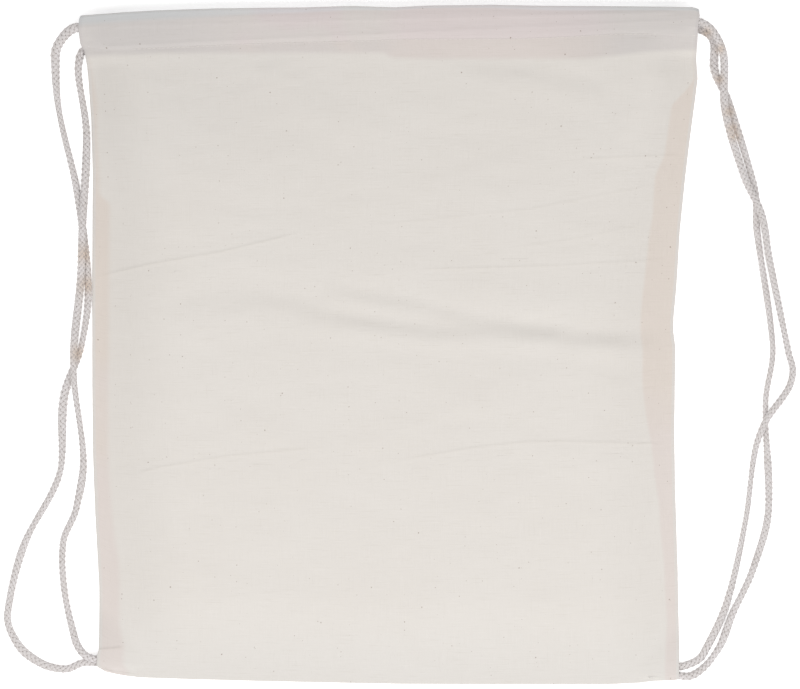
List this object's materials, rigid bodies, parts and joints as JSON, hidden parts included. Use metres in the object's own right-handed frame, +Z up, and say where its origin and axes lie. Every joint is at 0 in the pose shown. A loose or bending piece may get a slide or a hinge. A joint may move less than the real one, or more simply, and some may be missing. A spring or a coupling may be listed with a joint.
{
  "type": "cotton drawstring bag",
  "caption": "Flat cotton drawstring bag, closed by braided cords that run through its top casings and are sewn into its bottom corners to serve as shoulder straps.",
  "frame": {"origin": "centre of the pouch's underside, where it lies on the surface", "axes": "+X across the bag to the right as seen from above, +Y from the bottom fold to the mouth, +Z up from the surface"},
  "size_m": [0.4914, 0.4206, 0.0184],
  "materials": {
    "calico": "unbleached plain-weave cotton, matt",
    "cord_cotton": "braided unbleached cotton, matt"
  },
  "bodies": {
    "root": {"pouch": "calico", "cord_left": "cord_cotton", "cord_right": "cord_cotton"}
  },
  "joints": []
}
